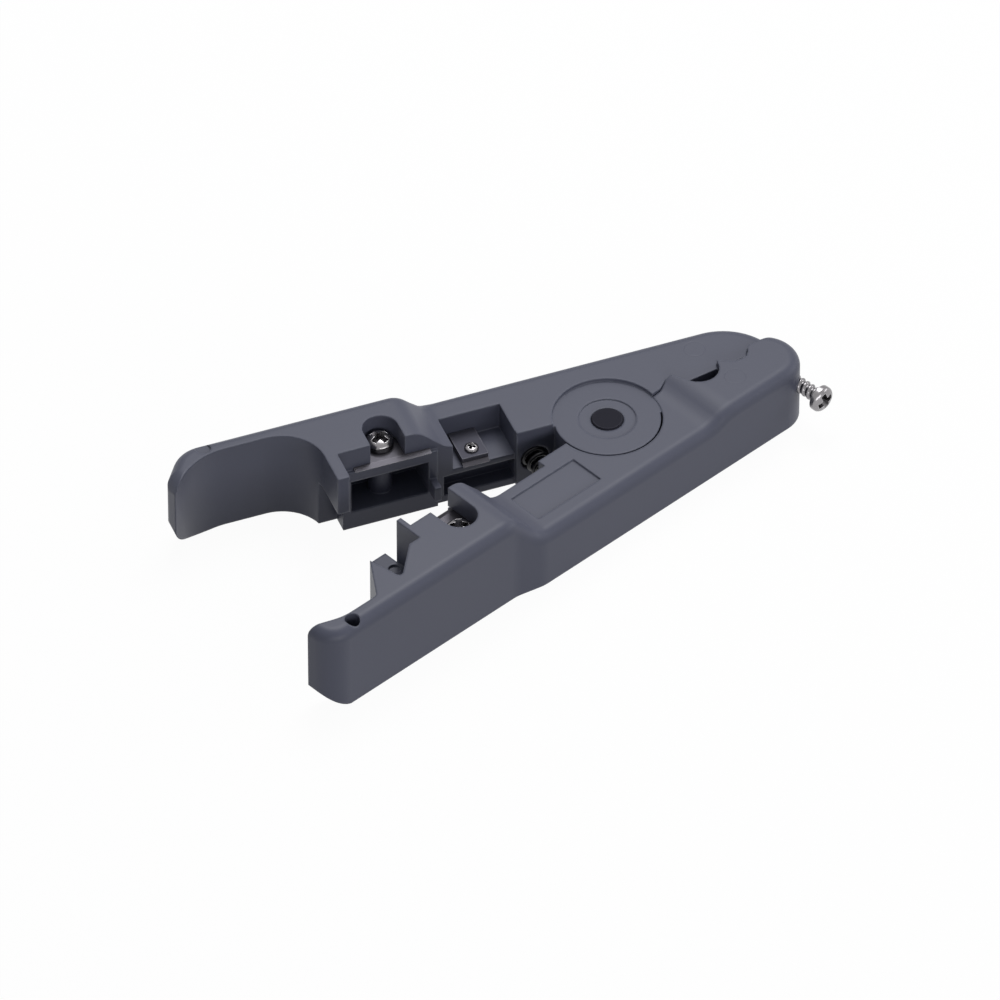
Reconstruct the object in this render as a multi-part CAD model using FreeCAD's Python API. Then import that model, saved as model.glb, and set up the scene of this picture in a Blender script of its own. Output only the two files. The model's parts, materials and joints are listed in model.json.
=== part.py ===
import FreeCAD, Part
import math
import os

# Cable stripper with two moulded arms on one pivot, like a clothes peg.
# Millimetres. The pivot axis is Z, the underside is z = 0, and +X runs from
# the pivot to the nose, halfway between the two arms at rest.
# Each arm is drawn with its own length along X, as it lies with the handles
# squeezed together, and is then turned to its place at rest.
# The hook arm lies on the +Y side of that line and the thumb arm on the -Y side.

V = FreeCAD.Vector
ORIGIN = V(0, 0, 0)
UP = V(0, 0, 1)

# Angle between the arms at rest, which is how far the thumb arm swings shut
open_angle = 22.3

# Heights above the underside
handle_height = 20.0
middle_height = 14.0
thumb_middle_height = 13.4
thumb_nose_height = 15.2
lap_height = 7.0
lap_gap = 0.1
disc_height = 13.3
clear = 1.0
far = 60.0

# Stations along the arms, measured from the pivot
handle_end = -90.0
hook_handle_end = handle_end + 1.1
step_start = -38.5
step_end = step_start + 6.0
nose_reach = 39.0
thumb_nose_reach = nose_reach + 1.6
nose_step_start = nose_reach - 26.0
nose_step_end = nose_step_start + 4.5
nose_step_radius = 10.0

# Outer faces of the arms, measured from the arm's own line
hook_handle_outer = 15.4
hook_middle_outer = 17.2
thumb_handle_outer = 15.1
thumb_middle_outer = 16.5
hook_nose_radius = 12.6
thumb_nose_radius = 7.0
step_radius = 5.0
rim_radius = 2.4
low_rim_bevel = 0.6
end_radius = 5.0
end_top_radius = 4.0
end_low_radius = 11.0

# Inner faces of the arms
hook_front = 2.5
hook_beam_front = 1.8
hook_spring_front = 1.6
thumb_front = -1.6
thumb_spring_front = 0.25
spring_wall_start = -18.4

# Pivot
disc_radius = 10.5
socket_radius = 10.9
pin_radius = 3.0
pin_head_radius = 3.25
pin_head_thickness = 1.1
pin_running_gap = 0.05
pin_seat_gap = 0.02
boss_ring_radius = 5.7
boss_ring_depth = 0.25
ring_pocket_radius = 6.2
ring_pocket_depth = 2.4
washer_radius = 5.6
washer_thickness = 0.6
ring_thickness = 0.7
ring_groove_depth = 0.7
ring_outer_radius = 5.0
ring_inner_radius = pin_radius + 0.6
ring_pad_half = 0.9
ring_mouth_half = 1.5
pin_head_bevel = 0.3
pin_crown = 0.1

# Finger recess of the hook arm and its cheek rib
finger_wall = 3.6
finger_radius = 9.0
hook_tip_outer = 8.0
hook_tip_inner = 4.6
hook_tip_slant = 0.6
hook_tip_radius = 3.0
hook_tip_run = 5.2
hook_end_radius = 7.0
hook_curve_run = 7.6
tip_curve_radius = 14.0
rib_left = -58.0
rib_right = -55.5
rib_tip = -4.6
rib_underside = 10.8
rib_back = 5.4
rib_gap = 0.6

# Cutting beam and window under the slitting blade
beam_left = -54.6
beam_right = -34.8
beam_height = 14.7
window_left = -52.9
window_right = -36.7
window_low = 4.3
window_high = 12.2
window_depth = 7.4
boss_radius = 2.4

# Guide lug at the foot of the window, and the notch that it enters
lug_left = -36.6
lug_right = -35.2
lug_low = 4.3
lug_high = 7.7
lug_tip = -1.3
lug_clearance = 0.7

# Blades that sit on the ledges of both arms
blade_left = -52.1
blade_right = -36.2
blade_thickness = 0.5
blade_slot_gap = 0.06
blade_depth = 7.6
blade_overhang = 0.35
blade_bevel = 1.1
blade_screw_x = -45.0
blade_screw_y = 7.0
thumb_blade_screw_y = -5.6
thumb_blade_edge = 1.0
blade_flat = 0.08

# Pan head screws that hold the blades
blade_screw_radius = 1.45
blade_screw_head_radius = 2.75
blade_screw_head_height = 2.3
blade_screw_rim = 1.0
blade_screw_length = 9.0
blade_recess_reach = 1.5
blade_recess_width = 0.45
screw_recess_depth = 1.1
recess_turn = 30
screw_tip_room = 0.3
blade_hole_gap = 0.1
keyhole_radius = 3.6
keyhole_y = 6.5

# Cutter pocket between the step and the spring
pocket_left = -31.4
pocket_right = -18.5
pocket_back = 10.9
pocket_floor = 8.0
shelf_left = beam_right + 1.5
shelf_height = 1.7
shelf_roof = 6.6
shelf_depth = 5.6
cutter_left = -29.3
cutter_right = -23.8
cutter_front = 2.1
cutter_back = pocket_back - 0.2
cutter_thickness = 0.7
clamp_front = 2.9
clamp_thickness = 0.9
clamp_corner = 0.2
cutter_screw_x = -26.5
cutter_screw_y = 5.2
cutter_screw_radius = 0.8
cutter_screw_head_radius = 1.4
cutter_screw_head_height = 0.8
cutter_screw_rim = 0.4
cutter_screw_length = 4.2
cutter_slot_width = 0.4

# Return spring, a coil in a blind hole in each arm
spring_x = -14.0
spring_height = 6.4
spring_outer_radius = 2.6
wire_radius = 0.4
wire_sides = 6
spring_turns = 7
spring_hole_gap = 0.25
spring_hook_depth = 3.0
spring_thumb_depth = 4.2
spring_end_gap = 0.15

# Thumb arm: saw-toothed cable jaw
thumb_grip = -11.4
thumb_tip_inner = -8.8
thumb_tip_slant = 2.0
thumb_curve_run = 9.0
thumb_curve_radius = 12.0
tongue_hole_radius = 1.2
tongue_hole_depth = 0.5
tongue_hole_y = 0.3
tooth_foot = -72.3
tooth_tip_x = -66.5
tooth_tip_y = -3.3
vee_bottom_x = -65.2
vee_bottom_y = -11.0
vee_mouth_x = -57.8
rib_seat_y = -5.1
jaw_left = -55.0
jaw_tooth_width = 1.1
jaw_tooth_tip = 1.7
jaw_front = -1.3
jaw_floor_right = blade_screw_x - keyhole_radius
jaw_floor_left = jaw_left + jaw_tooth_width
tongue_left = -58.4
tongue_tip = 4.8
tongue_height = 9.1
block_front = 1.5
block_right = -33.0

# Recess for a label on the thumb arm, left bare
label_left = -29.7
label_right = -13.0
label_top = -4.0
label_bottom = -11.8
label_depth = 0.4

# Nose jaws: teeth along the parting line, drawn in the rest pose
parting_gap = 0.2
parting_start = disc_radius - 1.0
parting_foot = 0.4
notch_x = socket_radius + 2.1
notch_height = 1.2
jaw_line = -0.6
hump_x = disc_radius + 5.1
hump_height = 2.9
hump_width = 1.0
big_seat_left = nose_reach - 20.6
big_seat_right = big_seat_left + 7.2
big_seat_depth = 2.3
hook_seat_depth = 0.7
tooth_peak_x = big_seat_right + 0.6
tooth_peak = 1.4
small_seat_left = tooth_peak_x + 2.7
small_seat_right = small_seat_left + 3.0
small_seat_depth = 0.4
nose_shoulder_x = small_seat_right + 1.9
nose_shoulder = 1.9

# Stripping blade in the nose of the hook arm
nose_blade_left = big_seat_left - 0.1
nose_blade_right = tooth_peak_x + 1.8
nose_blade_edge = -0.35
nose_blade_depth = 8.0
nose_blade_height = 6.6
nose_blade_thickness = 0.5
nose_blade_room = 0.4
nose_pin_radius = 0.9
nose_pin_inset = 1.9
nose_pin_y = 4.4
nose_pin_low = 0.6
nose_pin_high = 10.5

# Depth screw across the nose of the thumb arm
depth_screw_angle = -77.0
depth_screw_x = thumb_nose_reach - 0.6
depth_screw_y = -6.8
depth_screw_z = 8.6
depth_screw_inside = 8.6
depth_screw_outside = 5.8
depth_screw_radius = 1.3
depth_screw_head_radius = 2.7
depth_screw_head_height = 2.1
depth_screw_rim = 1.1
depth_screw_point = 0.6
depth_screw_gap = 0.05
depth_recess_reach = 1.6
depth_recess_width = 0.5
clamp_slot_width = 1.0
clamp_slot_low = 2.2
clamp_slot_high = 11.4
clamp_slot_depth = 4.0
clamp_slot_x = thumb_nose_reach - 0.8
clamp_slot_y = depth_screw_y + 1.4

# Half-round marks on the handle ends
thumb_hole_x = -80.2
thumb_hole_radius = 1.5
thumb_hole_depth = 6.0
thumb_hole_y = -13.0
hook_mark_x = -79.3
hook_mark_radius = 1.5
hook_mark_y = 13.4
hook_mark_depth = 0.5


def outline(corners):
    """Closed face in the XY plane. Each corner is (x, y, rounding radius)."""
    count = len(corners)
    starts, ends, arcs = [], [], []
    for i in range(count):
        x, y, radius = corners[i]
        here = V(x, y, 0)
        before = V(corners[i - 1][0], corners[i - 1][1], 0)
        after = V(corners[(i + 1) % count][0], corners[(i + 1) % count][1], 0)
        if radius <= 0:
            starts.append(here)
            ends.append(here)
            arcs.append(None)
            continue
        back = (before - here).normalize()
        ahead = (after - here).normalize()
        half = back.getAngle(ahead) / 2
        run = radius / math.tan(half)
        first = here + back * run
        last = here + ahead * run
        bisector = (back + ahead).normalize()
        middle = here + bisector * (radius / math.sin(half) - radius)
        starts.append(first)
        ends.append(last)
        arcs.append(Part.Arc(first, middle, last).toShape())
    edges = []
    for i in range(count):
        following = (i + 1) % count
        if arcs[i] is not None:
            edges.append(arcs[i])
        if ends[i].distanceToPoint(starts[following]) > 1e-6:
            edges.append(Part.LineSegment(ends[i], starts[following]).toShape())
    return Part.Face(Part.Wire(edges))


def plate(corners, low, high):
    """Upright prism over an outline, between two heights."""
    face = outline(corners)
    face.translate(V(0, 0, low))
    return face.extrude(V(0, 0, high - low))


def side_prism(corners, low_y, high_y):
    """Prism along Y over an outline given as (x, z, rounding radius)."""
    face = outline(corners)
    face.rotate(ORIGIN, V(1, 0, 0), 90)
    face.translate(V(0, high_y, 0))
    return face.extrude(V(0, low_y - high_y, 0))


def box(x_range, y_range, z_range):
    size = [end - start for start, end in (x_range, y_range, z_range)]
    return Part.makeBox(size[0], size[1], size[2], V(x_range[0], y_range[0], z_range[0]))


def rod(radius, low, high, x=0.0, y=0.0):
    """Upright cylinder."""
    return Part.makeCylinder(radius, high - low, V(x, y, low))


def turned(profile, axis_point=ORIGIN, axis=UP):
    """Solid of revolution of a closed (radius, height) profile about an axis."""
    points = [V(radius, 0, height) for radius, height in profile]
    face = Part.Face(Part.makePolygon(points + points[:1]))
    solid = face.revolve(ORIGIN, UP, 360)
    turn = FreeCAD.Rotation(UP, axis)
    solid.Placement = FreeCAD.Placement(axis_point, turn)
    return solid


def one_solid(shape):
    """Joined faces tidied, and the single solid inside a compound."""
    shape = shape.removeSplitter()
    if len(shape.Solids) == 1:
        return shape.Solids[0]
    return shape


def hook_at_rest(shape):
    turned_shape = shape.copy()
    turned_shape.rotate(ORIGIN, UP, -open_angle / 2)
    return turned_shape


def thumb_at_rest(shape):
    turned_shape = shape.copy()
    turned_shape.rotate(ORIGIN, UP, open_angle / 2)
    return turned_shape


def rim_edges(body, belongs):
    """Edges of the top and bottom rims for which belongs(middle point) holds."""
    chosen = []
    for edge in body.Edges:
        first = edge.valueAt(edge.FirstParameter)
        last = edge.valueAt(edge.LastParameter)
        upright = abs(first.x - last.x) < 1e-4 and abs(first.y - last.y) < 1e-4
        if not upright and belongs(edge.CenterOfMass):
            chosen.append(edge)
    return chosen


def stepped_body(plan, end, middle_top, nose_top, on_outer_rim):
    """Arm blank: plan cut to its stepped side view, top rim rounded, low rim bevelled."""
    beyond = nose_reach + 2 * thumb_nose_radius
    before = handle_end - end_radius
    corners = [
        (before, 0, 0),
        (beyond, 0, 0),
        (beyond, nose_top, 0),
    ]
    if nose_top != middle_top:
        corners.append((nose_step_end, nose_top, nose_step_radius))
        corners.append((nose_step_start, middle_top, nose_step_radius))
    corners.append((step_end, middle_top, step_radius))
    corners.append((step_start, handle_height, step_radius))
    corners.append((before, handle_height, 0))
    body = plate(plan, 0, handle_height).common(side_prism(corners, -far, far))
    body = body.makeFillet(rim_radius, rim_edges(body, lambda p: p.z > 1 and on_outer_rim(p)))
    body = body.makeChamfer(low_rim_bevel, rim_edges(body, lambda p: p.z < 1e-3 and on_outer_rim(p)))
    rounded_end = side_prism(
        [
            (end, 0, end_low_radius),
            (beyond, 0, 0),
            (beyond, handle_height, 0),
            (end, handle_height, end_top_radius),
        ],
        -far,
        far,
    )
    return body.common(rounded_end)


def parting_cutter(gap, toward_thumb):
    """One side of the toothed line between the nose jaws, clear of the pivot discs."""
    side = -1 if toward_thumb else 1
    line = [
        (parting_start, parting_foot - gap),
        (notch_x, notch_height - gap),
        (hump_x, hump_height - gap),
        (hump_x + hump_width, hump_height - gap),
        (big_seat_left, jaw_line - gap),
        (big_seat_right, jaw_line - gap),
        (tooth_peak_x, tooth_peak - gap),
        (small_seat_left, jaw_line - gap),
        (small_seat_right, jaw_line - gap),
        (nose_shoulder_x, nose_shoulder - gap),
        (far, nose_shoulder - gap),
    ]
    corners = [(x, y, 0) for x, y in line]
    corners.append((far, side * far, 0))
    corners.append((parting_start, side * far, 0))
    cutter = plate(corners, -clear, handle_height + clear)
    return cutter.cut(rod(socket_radius, -far, far))


def round_seat(left, right, depth):
    """Upright cylinder whose arc dips below a chord from left to right."""
    half = (right - left) / 2
    radius = (half ** 2 + depth ** 2) / (2 * depth)
    centre_y = jaw_line + radius - depth
    return rod(radius, -clear, handle_height + clear, (left + right) / 2, centre_y)


def spring_axis_rod(radius, start_y, end_y):
    """Cylinder along Y on the spring's line, in the rest pose."""
    base = V(spring_x, start_y, spring_height)
    return Part.makeCylinder(radius, end_y - start_y, base, V(0, 1, 0))


def face_y_at_spring(front, side):
    """Where an arm's front face crosses the spring's line in the rest pose."""
    angle = math.radians(side * open_angle / 2)
    return (front + spring_x * math.sin(angle)) / math.cos(angle)


hook_spring_face = face_y_at_spring(hook_spring_front, -1)
thumb_spring_face = face_y_at_spring(thumb_spring_front, 1)
spring_low = thumb_spring_face - spring_thumb_depth + spring_end_gap
spring_high = hook_spring_face + spring_hook_depth - spring_end_gap

depth_axis = V(
    math.cos(math.radians(depth_screw_angle)),
    math.sin(math.radians(depth_screw_angle)),
    0,
)
depth_exit = V(depth_screw_x, depth_screw_y, depth_screw_z)


def make_hook_arm():
    recess_back = hook_handle_outer - finger_wall
    plan = [
        (hook_handle_end + hook_tip_run, hook_handle_outer, hook_end_radius),
        (hook_handle_end, hook_tip_outer, hook_tip_radius),
        (hook_handle_end + hook_tip_slant, hook_tip_inner, 0),
        (hook_handle_end + hook_curve_run, recess_back, tip_curve_radius),
        (rib_left, recess_back, finger_radius),
        (rib_left, rib_tip, 0.3),
        (rib_right, rib_tip, 0.3),
        (rib_right, hook_front, 0),
        (spring_wall_start, hook_front, 0),
        (spring_wall_start, hook_spring_front, 0),
        (-disc_radius, hook_spring_front, 0),
        (0, -2.0, 0),
        (nose_reach, -2.0, 0),
        (nose_reach - 0.4, hook_middle_outer, hook_nose_radius),
        (step_end, hook_middle_outer - 0.2, 8.0),
        (step_start, hook_handle_outer, 8.0),
    ]

    def outer_rim(point):
        outside = point.y > hook_handle_outer - 1.0
        nose = point.x > 20 and point.y > 3
        return outside or nose

    body = stepped_body(plan, hook_handle_end, middle_height, middle_height, outer_rim)
    body = body.cut(box((rib_left - rib_gap, beam_left), (-far, rib_back), (-clear, rib_underside)))
    beam = box((beam_left, beam_right), (hook_beam_front, hook_front + clear), (0, beam_height))
    body = body.fuse(beam)

    window = box(
        (window_left, window_right),
        (-far, hook_beam_front + window_depth),
        (window_low, window_high),
    )
    boss = rod(boss_radius, window_low, window_high, blade_screw_x, blade_screw_y)
    lug = box((lug_left, lug_right), (lug_tip, hook_front + clear), (lug_low, lug_high))
    body = body.cut(window).fuse([boss, lug])

    body = body.cut([
        blade_slot(hook_beam_front, 1),
        keyhole(keyhole_y, 1),
        blade_screw_hole(blade_screw_y),
    ])

    pocket = box((pocket_left, pocket_right), (-far, pocket_back), (pocket_floor, handle_height))
    under = box((shelf_left, pocket_right), (-far, shelf_depth), (shelf_height, shelf_roof))
    screw_hole = rod(
        cutter_screw_radius + pin_seat_gap,
        pocket_floor + cutter_thickness + clamp_thickness - cutter_screw_length - screw_tip_room,
        pocket_floor + clear,
        cutter_screw_x,
        cutter_screw_y,
    )
    body = body.cut([pocket, under, screw_hole])

    body = body.cut(rod(socket_radius, -clear, lap_height))
    disc = rod(disc_radius, lap_height + lap_gap, middle_height)
    body = body.fuse(disc)
    body = body.cut(rod(socket_radius, disc_height, handle_height))
    ring_step = rod(boss_ring_radius, disc_height - boss_ring_depth, handle_height)
    pin_hole = rod(pin_radius + pin_seat_gap, -clear, handle_height)
    head_seat = rod(
        pin_head_radius + pin_seat_gap,
        disc_height - pin_head_thickness,
        handle_height,
    )
    body = body.cut([ring_step, pin_hole, head_seat])

    mark = rod(
        hook_mark_radius,
        handle_height - hook_mark_depth,
        handle_height + clear,
        hook_mark_x,
        hook_mark_y,
    )
    body = body.cut(mark)

    body = hook_at_rest(body)
    body = body.cut(parting_cutter(0, True))
    hole = spring_axis_rod(
        spring_outer_radius + spring_hole_gap,
        hook_spring_face - spring_hook_depth,
        hook_spring_face + spring_hook_depth,
    )
    blade_gap = box(
        (nose_blade_left - blade_slot_gap, nose_blade_right + blade_slot_gap),
        (-far, nose_blade_edge + nose_blade_depth + blade_slot_gap),
        (nose_blade_height, nose_blade_height + nose_blade_thickness + blade_slot_gap),
    )
    seats = [
        box((left, right), (-far, jaw_line + hook_seat_depth), (-clear, handle_height))
        for left, right in ((big_seat_left, big_seat_right), (small_seat_left, small_seat_right))
    ]
    pins = [
        rod(nose_pin_radius + pin_seat_gap, -clear, nose_pin_high + blade_slot_gap, x, nose_pin_y)
        for x in nose_pin_places()
    ]
    body = body.cut([hole, blade_gap] + seats + pins)
    return one_solid(body)


def nose_pin_places():
    return (nose_blade_left + nose_pin_inset, nose_blade_right - nose_pin_inset)


def blade_slot(front, side):
    """Thin slot over the ledge, which the blade slides into from the front."""
    near, back = sorted((-side * far, front + side * (blade_depth + blade_slot_gap)))
    return box(
        (blade_left - blade_slot_gap, blade_right + blade_slot_gap),
        (near, back),
        (beam_height, beam_height + blade_thickness + blade_slot_gap),
    )


def keyhole(middle_y, side):
    """U-shaped opening down to the ledge, around the blade screw."""
    near, back = sorted((middle_y, -side * far))
    channel = box(
        (blade_screw_x - keyhole_radius, blade_screw_x + keyhole_radius),
        (near, back),
        (beam_height, handle_height + clear),
    )
    bowl = rod(keyhole_radius, beam_height, handle_height + clear, blade_screw_x, middle_y)
    return channel.fuse(bowl)


def blade_screw_hole(screw_y):
    """Hole in an arm for the screw that holds its blade."""
    tip = beam_height + blade_thickness - blade_screw_length
    radius = blade_screw_radius + pin_seat_gap
    return rod(radius, tip - screw_tip_room, beam_height + clear, blade_screw_x, screw_y)


def make_thumb_arm():
    nose_inner = 2 * thumb_nose_radius - thumb_middle_outer
    plan = [
        (handle_end + 2.6, -thumb_handle_outer, end_radius),
        (step_start, -thumb_handle_outer, 8.0),
        (step_end, -thumb_middle_outer, 8.0),
        (thumb_nose_reach, -thumb_middle_outer, thumb_nose_radius),
        (thumb_nose_reach, nose_inner, thumb_nose_radius - 0.1),
        (thumb_nose_reach - thumb_nose_radius - 2, nose_inner, 0),
        (thumb_nose_reach - 2 * thumb_nose_radius, 4.0, 0),
        (0, 4.0, 0),
        (-disc_radius, thumb_spring_front, 0),
        (spring_wall_start, thumb_spring_front, 0),
        (spring_wall_start, thumb_front, 0),
        (block_right, thumb_front, 0),
        (block_right - 0.6, block_front, 0),
        (tongue_left, block_front, 0),
        (tooth_tip_x, tooth_tip_y, 0),
        (tooth_foot, thumb_grip, 1.5),
        (handle_end + thumb_curve_run, thumb_grip, thumb_curve_radius),
        (handle_end + thumb_tip_slant, thumb_tip_inner, 0),
    ]

    def outer_rim(point):
        outside = point.y < -thumb_handle_outer + 1.0
        nose = point.x > thumb_nose_reach - thumb_nose_radius
        return outside or nose

    body = stepped_body(plan, handle_end, thumb_middle_height, thumb_nose_height, outer_rim)
    vee = plate(
        [
            (tooth_tip_x, tooth_tip_y, 0),
            (vee_bottom_x, vee_bottom_y, 0.8),
            (vee_mouth_x, rib_seat_y, 0),
            (jaw_left, rib_seat_y, 0),
            (jaw_left, far, 0),
            (tooth_tip_x, far, 0),
        ],
        -clear,
        handle_height + clear,
    )
    tongue = box((tongue_left, jaw_left), (rib_seat_y - clear, tongue_tip), (0, tongue_height))
    tongue_hole = rod(
        tongue_hole_radius,
        tongue_height - tongue_hole_depth,
        tongue_height + clear,
        (tongue_left + jaw_left) / 2,
        tongue_hole_y,
    )
    body = body.cut(vee).fuse(tongue).cut(tongue_hole)

    jaw_step = box(
        (jaw_floor_left, jaw_floor_right),
        (jaw_front, far),
        (-clear, handle_height + clear),
    )
    blade_front = box(
        (jaw_floor_right, blade_screw_x + keyhole_radius),
        (jaw_front, far),
        (-clear, beam_height),
    )
    tooth_trim = box((jaw_left, blade_left), (jaw_tooth_tip, far), (-clear, handle_height + clear))
    lug_notch = box(
        (lug_left - lug_clearance, lug_right + lug_clearance),
        (lug_tip - lug_clearance, far),
        (lug_low - lug_clearance, lug_high + lug_clearance),
    )
    body = body.cut([jaw_step, tooth_trim, lug_notch])
    ledge = box(
        (jaw_floor_right, blade_screw_x + keyhole_radius + clear),
        (jaw_front - clear, thumb_blade_edge - blade_overhang),
        (window_high, beam_height),
    )
    body = body.cut(blade_front).fuse(ledge)
    body = body.cut([
        blade_slot(thumb_blade_edge, -1),
        keyhole(thumb_blade_screw_y, -1),
        blade_screw_hole(thumb_blade_screw_y),
    ])

    label = box(
        (label_left, label_right),
        (label_bottom, label_top),
        (thumb_middle_height - label_depth, handle_height),
    )
    hole = rod(
        thumb_hole_radius,
        handle_height - thumb_hole_depth,
        handle_height + clear,
        thumb_hole_x,
        thumb_hole_y,
    )
    body = body.cut([label, hole])

    body = body.cut(rod(socket_radius, lap_height, handle_height + clear))
    body = body.cut(box((-disc_radius, disc_radius), (0, far), (-clear, handle_height + clear)))
    body = body.fuse(rod(disc_radius, 0, lap_height))
    body = body.cut([
        rod(pin_radius + pin_running_gap, -clear, handle_height),
        rod(ring_pocket_radius, -clear, ring_pocket_depth),
    ])

    body = thumb_at_rest(body)
    body = body.cut(parting_cutter(parting_gap, False))
    body = body.cut([
        round_seat(big_seat_left, big_seat_right, big_seat_depth),
        round_seat(small_seat_left, small_seat_right, small_seat_depth),
    ])
    hole = spring_axis_rod(
        spring_outer_radius + spring_hole_gap,
        thumb_spring_face - spring_thumb_depth,
        thumb_spring_face + spring_thumb_depth,
    )
    blade_room = box(
        (nose_blade_left - nose_blade_room, nose_blade_right + nose_blade_room),
        (nose_blade_edge - nose_blade_room, far),
        (nose_blade_height - nose_blade_room, nose_blade_height + nose_blade_thickness + nose_blade_room),
    )
    thread_hole = Part.makeCylinder(
        depth_screw_radius + depth_screw_gap,
        2 * depth_screw_inside,
        depth_exit - depth_axis * (depth_screw_inside + clear),
        depth_axis,
    )
    across = V(-depth_axis.y, depth_axis.x, 0)
    slot = box(
        (-clamp_slot_depth, clamp_slot_depth),
        (-clamp_slot_width / 2, clamp_slot_width / 2),
        (clamp_slot_low, clamp_slot_high),
    )
    slot.rotate(ORIGIN, UP, math.degrees(math.atan2(across.y, across.x)))
    slot.translate(V(clamp_slot_x, clamp_slot_y, 0))
    body = body.cut([hole, blade_room, thread_hole, slot])
    return one_solid(body)


def make_pivot_pin():
    head_low = disc_height - pin_head_thickness
    groove_low = ring_pocket_depth - washer_thickness - ring_thickness
    groove_high = ring_pocket_depth - washer_thickness
    neck = pin_radius - ring_groove_depth
    return turned([
        (0, 0),
        (pin_radius, 0),
        (pin_radius, groove_low),
        (neck, groove_low),
        (neck, groove_high),
        (pin_radius, groove_high),
        (pin_radius, head_low),
        (pin_head_radius, head_low),
        (pin_head_radius, disc_height + pin_crown - pin_head_bevel),
        (pin_head_radius - pin_head_bevel, disc_height + pin_crown),
        (0, disc_height + pin_crown),
    ])


def make_washer():
    high = ring_pocket_depth
    ring = rod(washer_radius, high - washer_thickness, high)
    return ring.cut(rod(pin_radius + pin_running_gap, 0, high + clear))


def make_retaining_ring():
    """Snap ring with an open mouth and three inner pads in the pin's groove."""
    high = ring_pocket_depth - washer_thickness
    low = high - ring_thickness
    ring = rod(ring_outer_radius, low, high)
    ring = ring.cut(rod(ring_inner_radius, low - clear, high + clear))
    neck = pin_radius - ring_groove_depth + pin_seat_gap
    pads = []
    for angle in (0, 120, 240):
        pad = box((neck, ring_inner_radius + 0.3), (-ring_pad_half, ring_pad_half), (low, high))
        pad.rotate(ORIGIN, UP, angle)
        pads.append(pad)
    ring = ring.fuse(pads).cut(rod(neck, low - clear, high + clear))
    mouth = box((-far, 0), (-ring_mouth_half, ring_mouth_half), (low - clear, high + clear))
    return one_solid(ring.cut(mouth))


def make_blade(edge_y, side, screw_y):
    """Flat blade with a bevelled edge towards the other arm and a screw hole."""
    low = beam_height
    high = beam_height + blade_thickness
    back = edge_y + side * blade_depth
    profile = [
        (edge_y, low, 0),
        (back, low, 0),
        (back, high, 0),
        (edge_y + side * blade_bevel, high, 0),
        (edge_y, low + blade_flat, 0),
    ]
    face = outline(profile)
    face.rotate(ORIGIN, V(1, 0, 0), 90)
    face.rotate(ORIGIN, UP, 90)
    face.translate(V(blade_left, 0, 0))
    blade = face.extrude(V(blade_right - blade_left, 0, 0))
    radius = blade_screw_radius + blade_hole_gap
    return blade.cut(rod(radius, low - clear, high + clear, blade_screw_x, screw_y))


def make_blade_screw(screw_y):
    """Pan head screw with a cross recess."""
    seat = beam_height + blade_thickness
    top = seat + blade_screw_head_height
    edge = blade_screw_head_radius
    screw = turned([
        (0, seat - blade_screw_length),
        (blade_screw_radius / 2, seat - blade_screw_length),
        (blade_screw_radius, seat - blade_screw_length + clear),
        (blade_screw_radius, seat),
        (edge, seat),
        (edge, seat + blade_screw_rim),
        (edge - blade_screw_rim, top),
        (0, top),
    ])
    screw = screw.cut(cross_recess(top, blade_recess_reach, blade_recess_width))
    screw.translate(V(blade_screw_x, screw_y, 0))
    return screw


def cross_recess(top, reach, width):
    """Two crossed slots for a cross-head driver, in a head on the Z axis."""
    heights = (top - screw_recess_depth, top + clear)
    first = box((-reach, reach), (-width / 2, width / 2), heights)
    second = box((-width / 2, width / 2), (-reach, reach), heights)
    cross = first.fuse(second)
    cross.rotate(ORIGIN, UP, recess_turn)
    return cross


def make_cutter_blade():
    low = pocket_floor
    high = pocket_floor + cutter_thickness
    profile = [
        (cutter_front, low, 0),
        (cutter_back, low, 0),
        (cutter_back, high, 0),
        (cutter_front + blade_bevel, high, 0),
        (cutter_front, low + blade_flat, 0),
    ]
    face = outline(profile)
    face.rotate(ORIGIN, V(1, 0, 0), 90)
    face.rotate(ORIGIN, UP, 90)
    face.translate(V(cutter_left, 0, 0))
    blade = face.extrude(V(cutter_right - cutter_left, 0, 0))
    return blade.cut(cutter_screw_hole())


def cutter_screw_hole():
    """Hole through the cutter blade and its clamp."""
    radius = cutter_screw_radius + blade_hole_gap
    return rod(radius, 0, handle_height, cutter_screw_x, cutter_screw_y)


def make_cutter_clamp():
    low = pocket_floor + cutter_thickness
    plan = [
        (cutter_left, clamp_front, clamp_corner),
        (cutter_right, clamp_front, clamp_corner),
        (cutter_right, cutter_back, clamp_corner),
        (cutter_left, cutter_back, clamp_corner),
    ]
    return plate(plan, low, low + clamp_thickness).cut(cutter_screw_hole())


def make_cutter_screw():
    seat = pocket_floor + cutter_thickness + clamp_thickness
    top = seat + cutter_screw_head_height
    screw = turned([
        (0, seat - cutter_screw_length),
        (cutter_screw_radius, seat - cutter_screw_length),
        (cutter_screw_radius, seat),
        (cutter_screw_head_radius, seat),
        (cutter_screw_head_radius, seat + cutter_screw_rim),
        (cutter_screw_head_radius - cutter_screw_rim, top),
        (0, top),
    ])
    half = cutter_slot_width / 2
    slot = box((-far, far), (-half, half), (top - cutter_screw_rim, top + clear))
    slot.rotate(ORIGIN, UP, 2 * recess_turn)
    screw = screw.cut(slot)
    screw.translate(V(cutter_screw_x, cutter_screw_y, 0))
    return screw


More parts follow.
